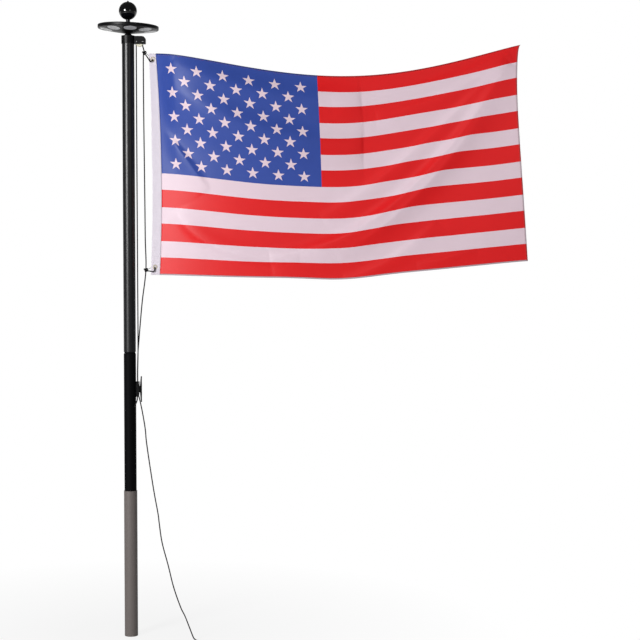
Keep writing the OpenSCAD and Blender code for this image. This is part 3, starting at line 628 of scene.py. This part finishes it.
# The hems wear the print darkened with painted shade
hems = [edgeRoll("hemTop", run, 0 * run, (0, 1), shadedHemPrint),
        edgeRoll("hemFly", 0 * tall + 1, tall, (-1, 0), shadedHemPrint),
        edgeRoll("hemFoot", run, 0 * run + 1, (0, -1), shadedHemPrint)]
print("flag cloth made")

# ---- header ----

header = {"topWidth": 0.029, "footWidth": 0.038, "thick": 0.0024, "ripple": 0.00025, "ripples": 58,
          "thread": 0.0014, "across": 13}


def hoistX(v):
    # The hoist line bows towards the fly and its foot stands a little further out
    return flag["hoist"] + flag["footShift"] * v + flag["bulge"] * 4 * v * (1 - v)


def headerAt(w, v, side):
    # w runs from the free edge to the print, and side is the face; a low ripple puckers the cloth
    wide = header["topWidth"] + (header["footWidth"] - header["topWidth"]) * np.minimum(1, 2.5 * v)
    pucker = np.sin(2 * np.pi * v * header["ripples"] + 2 * np.sin(9 * v))
    ripple = header["ripple"] * pucker * np.sin(np.pi * w) ** 0.5
    half = header["thick"] / 2 * (1 - 0.35 * np.sin(np.pi * np.clip(w, 0, 1)) ** 2)
    return np.stack([hoistX(v) - wide * (1 - w), side * half + ripple,
                     flag["top"] - (flag["drop"] + flag["footLow"]) * v], -1)


def headerShape():
    # A flat sleeve of canvas: across, the section runs round both faces with rounded edges; down, it follows
    # the hoist
    v = np.linspace(0, 1, 300)
    n = header["across"]
    w = np.r_[np.linspace(0, 1, n), np.linspace(1, 0, n)]
    side = np.repeat((-1.0, 1.0), n)
    side[[0, n - 1, n, 2 * n - 1]] *= 0.5
    vv, ww = np.meshgrid(v, w, indexing="ij")
    points = headerAt(ww, vv, np.broadcast_to(side, vv.shape))
    vv2, ww2 = np.meshgrid(v, np.r_[w, 0], indexing="ij")
    uv = np.stack([ww2 * header["footWidth"], vv2 * flag["drop"]], -1)
    return meshFrom("flagHeader", points, uv, closed=True, capped=True)


def canvasFinish():
    # Cotton duck, woven and bleached: matt cool white, a little uneven, with the threads showing
    made, tree, shader = newFinish("bleachedCanvas", Roughness=0.8, Sheen_Weight=0.05, Sheen_Roughness=0.5)
    uv = add(tree, "UVMap").outputs[0]
    weave = weaveOf(tree, uv, header["thread"])
    noise = add(tree, "TexNoise", {"Vector": uv, "Scale": 30.0, "Detail": 4.0})
    tint = add(tree, "Mix", {"Factor": noise, 6: linear("#dad2dd"), 7: linear("#e2dae4")}, data_type="RGBA")
    # Painted shade: the colour is darkened between the threads of the weave
    depth = add(tree, "MapRange", [weave, 0, 1, 0.93, 1.0])
    tinted = add(tree, "VectorMath", {0: tint.outputs[2], "Scale": depth}, operation="SCALE")
    tree.links.new(tinted.outputs[0], shader.inputs["Base Color"])
    lift = add(tree, "Bump", {"Strength": 0.3, "Distance": 0.0004, "Height": weave})
    tree.links.new(lift.outputs[0], shader.inputs["Normal"])
    return made


canvas = canvasFinish()
flagHeader = place(headerShape(), "pole", canvas, "white_header", "flag_header")
print("header made")


def stitches(name, a, b, lean, thread, finish, slotName):
    # Each stitch is a six-sided spindle from a to b, swelling and arching from the cloth by a sine of its length
    rings, sides = 5, 6
    t = np.linspace(0, 1, rings)
    around = np.arange(sides) * 2 * np.pi / sides
    side = unit(np.cross(unit(b - a), lean))
    arch = lean[:, None] * (thread * 0.6 * np.sin(np.pi * t))[None, :, None]
    line = a[:, None] + (b - a)[:, None] * t[None, :, None] + arch
    r = thread * (0.25 + 0.75 * np.sin(np.pi * t))
    ring = np.cos(around)[None, None, :, None] * side[:, None, None] \
        + np.sin(around)[None, None, :, None] * lean[:, None, None]
    points = line[:, :, None] + r[None, :, None, None] * ring
    first = np.arange(len(a))[:, None] * rings * sides
    i, j, k = np.meshgrid(first, np.arange(rings - 1) * sides, np.arange(sides), indexing="ij")
    low, high = (i + j + k).ravel(), (i + j + (k + 1) % sides).ravel()
    quads = np.stack([low, high, high + sides, low + sides], 1).tolist()
    ends = (first + np.arange(sides - 1, -1, -1)).tolist()
    ends += (first + (rings - 1) * sides + np.arange(sides)).tolist()
    mesh = bpy.data.meshes.new(name)
    mesh.from_pydata(points.reshape(-1, 3).tolist(), [], quads + ends)
    turned = bmesh.new()
    turned.from_mesh(mesh)
    bmesh.ops.recalc_face_normals(turned, faces=turned.faces)
    turned.to_mesh(mesh)
    turned.free()
    mesh.polygons.foreach_set("use_smooth", [True] * len(mesh.polygons))
    piece = bpy.data.objects.new(name, mesh)
    scene.collection.objects.link(piece)
    return place(piece, "pole", finish, slotName)


# Polyester thread, spun: white with a slight sheen
spunThread = coated("spunThread", "#ded8df", "#f4f0f5", 900, (0.5, 0.65), Sheen_Weight=0.3)
# The same thread, dyed red for the seams on the print
dyedThread = coated("dyedThread", "#8f1a1c", "#a52022", 900, (0.5, 0.65), Sheen_Weight=0.3)
stitch = {"spacing": 0.0045, "share": 0.72, "spun": 0.00035, "dyed": 0.0003, "from": 0.004, "to": 0.006,
          "near": 0.002}


def seamDown(name, w, side):
    # A straight seam down the header at share w of its width
    v = np.arange(stitch["from"], flag["drop"] - stitch["to"], stitch["spacing"]) / flag["drop"]
    long = stitch["spacing"] * stitch["share"] / flag["drop"]
    a, b = (headerAt(np.full(v.shape, w), v + k, np.full(v.shape, side)) for k in (0, long))
    lean = np.tile([0.0, side, 0.0], (len(v), 1))
    return stitches(name, a, b, lean, stitch["spun"], spunThread, "white_header")


def seamAlong(name, u0, v0, u1, v1, side):
    # A straight seam on the cloth between two places
    size = math.hypot((u1 - u0) * flag["fly"], (v1 - v0) * flag["drop"])
    t = np.arange(stitch["spacing"], size - stitch["spacing"], stitch["spacing"]) / size

    def along(q):
        return u0 + (u1 - u0) * q, v0 + (v1 - v0) * q

    u, v = along(t)
    start, end = clothAt(u, v), clothAt(*along(t + stitch["spacing"] * stitch["share"] / size))
    right, down = clothAt(u + stitch["near"], v) - start, clothAt(u, v + stitch["near"]) - start
    face = unit(np.cross(down, right)) * side
    out = face * flag["thick"] / 2
    return stitches(name, start + out, end + out, face, stitch["dyed"], dyedThread, "printed_cloth")


headerRows = [(0.93, -1), (0.78, -1), (0.07, -1), (0.93, 1), (0.07, 1)]
seams = [seamDown(f"headerSeam{k}", w, side) for k, (w, side) in enumerate(headerRows)]
inset = flag["hem"] * 0.6
insetU, insetV = inset / flag["fly"], inset / flag["drop"]
for k, side in enumerate((-1, 1)):
    seams += [seamAlong(f"topSeam{k}", 0.003, insetV, 0.995, insetV, side),
              seamAlong(f"footSeam{k}", 0.003, 1 - insetV, 0.995, 1 - insetV, side),
              seamAlong(f"flySeam{k}", 1 - insetU, 0.01, 1 - insetU, 0.99, side)]
print("seams made")

# ---- cleat ----

cleatShape = {"horn": 45, "half": 53.5, "radius": 4.2, "tip": 2.6, "pad": (7, 32), "post": (5, 14),
              "plate": 4.0, "plateShare": 0.3, "fillet": 0.45}


def cleatHorns():
    # A round bar along the pole, thick in the middle, its ends domed and leaning 2 mm away from the pole
    z = np.sin(np.linspace(-1, 1, 90) * np.pi / 2) * cleatShape["half"]
    share = np.abs(z) / cleatShape["half"]
    r = cleatShape["radius"] + (cleatShape["tip"] - cleatShape["radius"]) * ease((share - 0.22) / 0.7)
    cap = np.clip((cleatShape["half"] - np.abs(z)) / cleatShape["tip"], 0, 1)
    r = r * np.sqrt(np.clip(1 - (1 - cap) ** 2, 1e-4, 1))
    path = np.stack([cleatShape["horn"] + 2 * share ** 2, 0 * z, cleatZ + z], 1) * mm
    return meshFrom("cleatHorns", tubeRings(path, r[:, None] * mm, 28, (0, 1, 0)), closed=True, capped=True)


def cleatBase():
    # Rounded oblongs stacked outwards: |y/a|^4 + |z/b|^4 = 1, shrinking from pad to post in one fillet
    plate = cleatShape["plateShare"]
    t = np.linspace(0, 1, 26)[:, None]
    a = np.arange(64) * 2 * np.pi / 64
    shrink = np.where(t < plate, 0, ease((t - plate) / cleatShape["fillet"])) ** 0.5
    (padY, padZ), (postY, postZ) = cleatShape["pad"], cleatShape["post"]
    y = (padY + (postY - padY) * shrink) * bent(np.cos(a), 0.5)
    z = (padZ + (postZ - padZ) * shrink) * bent(np.sin(a), 0.5)
    seat = np.sqrt((skin + 0.05) ** 2 - y ** 2)
    face, top = skin + cleatShape["plate"], cleatShape["horn"] + 1.0
    x = np.where(t < plate, seat + (face - seat) * t / plate, face + (top - face) * (t - plate) / (1 - plate))
    return meshFrom("cleatBase", np.stack([x, y, cleatZ + z], -1) * mm, closed=True, capped=True)


place(cleatHorns(), "pole", filledNylon, "black_cleat", "cleat")
place(cleatBase(), "pole", filledNylon, "black_cleat")
print("cleat made")

# ---- finishes on the CAD parts ----

wear = {"ground_sleeve": extrudedPvc, "lower_section": dullCoat, "upper_section": powderCoat,
        "truck_body": mouldedAbs, "truck_rivets": platedSteel, "sheave": turnedNylon,
        "sheave_pin": blackedSteel, "light_housing": mouldedAbs, "light_cover": mouldedAbs,
        "light_board": maskedBoard, "finial_washer": platedSteel, "finial_stem": blackedSteel,
        "finial_ball": polishedBall, "finial_tip": polishedBall, "grommet_upper": pressedBrass,
        "grommet_lower": pressedBrass, "cleat_screws": platedSteel}
wear.update({f"light_lens_{k}": frostedLens for k in range(1, 9)})
wear.update({f"solar_cell_{k}": solarCell for k in range(1, 7)})
for name, finish in wear.items():
    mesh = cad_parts[name].data
    mesh.materials.clear()
    mesh.materials.append(finish)
print("finishes on the CAD parts")

# ---- stage ----

studio = {"floor": "#dadada", "near": 0.85, "start": 0.25, "fade": 1.6, "backdrop": (2.0, 8.0),
          "behind": (0.8, 0.98), "ambient": 0.3, "mirrored": 0.08, "key": 450, "glint": 7}


def stageFloor():
    # Pale and matt. To the camera it glows with its own white, less near the object so that the shadow shows
    # there; in reflections it does so only behind the object
    bpy.ops.mesh.primitive_plane_add(size=400)
    plane = bpy.context.object
    plane.name = "floor"
    made, tree, shader = newFinish("stagePaper", Base_Color=linear(studio["floor"]), Roughness=0.9)
    ray = add(tree, "LightPath")
    where = add(tree, "TexCoord").outputs["Object"]
    away = add(tree, "VectorMath", [where], operation="LENGTH").outputs["Value"]
    own = add(tree, "MapRange", [away, studio["start"], studio["fade"], studio["near"], 1.0])
    depth = add(tree, "SeparateXYZ", [where]).outputs[1]
    back = add(tree, "MapRange", [depth, *studio["backdrop"], 0.0, 1.0])
    mirrored = add(tree, "Math", [ray.outputs["Is Glossy Ray"], back], operation="MULTIPLY")
    straight = add(tree, "Math", [ray.outputs["Is Camera Ray"], ray.outputs["Is Transmission Ray"]],
                   operation="MAXIMUM")
    seen = add(tree, "Math", [straight, mirrored], operation="MAXIMUM")
    share = add(tree, "Math", [seen, own], operation="MULTIPLY")
    glow = add(tree, "Emission", {"Color": (1, 1, 1, 1), "Strength": 1.0})
    both = add(tree, "MixShader", [share, shader, glow])
    tree.links.new(both.outputs[0], tree.nodes["Material Output"].inputs["Surface"])
    plane.data.materials.append(made)


def stageWorld():
    # White behind the object to the camera and in its reflections, plain grey light from elsewhere
    world = bpy.data.worlds.new("studio")
    scene.world = world
    world.use_nodes = True
    tree = world.node_tree
    ray = add(tree, "LightPath")
    way = add(tree, "SeparateXYZ", [add(tree, "TexCoord").outputs["Generated"]])
    behind = add(tree, "MapRange", [way.outputs[1], *studio["behind"], 0.0, 1.0])
    mirrored = add(tree, "Math", [ray.outputs["Is Glossy Ray"], behind], operation="MULTIPLY")
    straight = add(tree, "Math", [ray.outputs["Is Camera Ray"], ray.outputs["Is Transmission Ray"]],
                   operation="MAXIMUM")
    seen = add(tree, "Math", [straight, mirrored], operation="MAXIMUM")
    dim = add(tree, "MapRange", [ray.outputs["Is Glossy Ray"], 0, 1, studio["ambient"], studio["mirrored"]])
    power = add(tree, "Mix", {"Factor": seen, "A": dim, "B": 1.0}, data_type="FLOAT")
    tree.links.new(power.outputs[0], tree.nodes["Background"].inputs["Strength"])
    tree.nodes["Background"].inputs["Color"].default_value = (1, 1, 1, 1)


def softbox(name, at, towards, size, watts):
    # A rectangular lamp turned towards a place
    lamp = bpy.data.lights.new(name, "AREA")
    lamp.shape, lamp.size, lamp.size_y, lamp.energy = "RECTANGLE", size[0], size[1], watts
    stand = bpy.data.objects.new(name, lamp)
    at, towards = np.array(at), np.array(towards)
    z = unit(at - towards)
    x = unit(np.cross((0, 0, 1), z))
    turned = np.eye(4)
    turned[:3, 0], turned[:3, 1], turned[:3, 2], turned[:3, 3] = x, np.cross(z, x), z, at
    stand.matrix_world = Matrix(turned.tolist())
    scene.collection.objects.link(stand)


stageFloor()
stageWorld()
softbox("key", (-3.85, -6.0, 3.0), (0.5, 0, 2.0), (2.0, 2.0), studio["key"])
softbox("glint", (2.6, -4.2, 2.65), (0.0, 0, 2.3), (0.8, 0.8), studio["glint"])
scene.view_settings.view_transform = "Standard"
print("stage set")
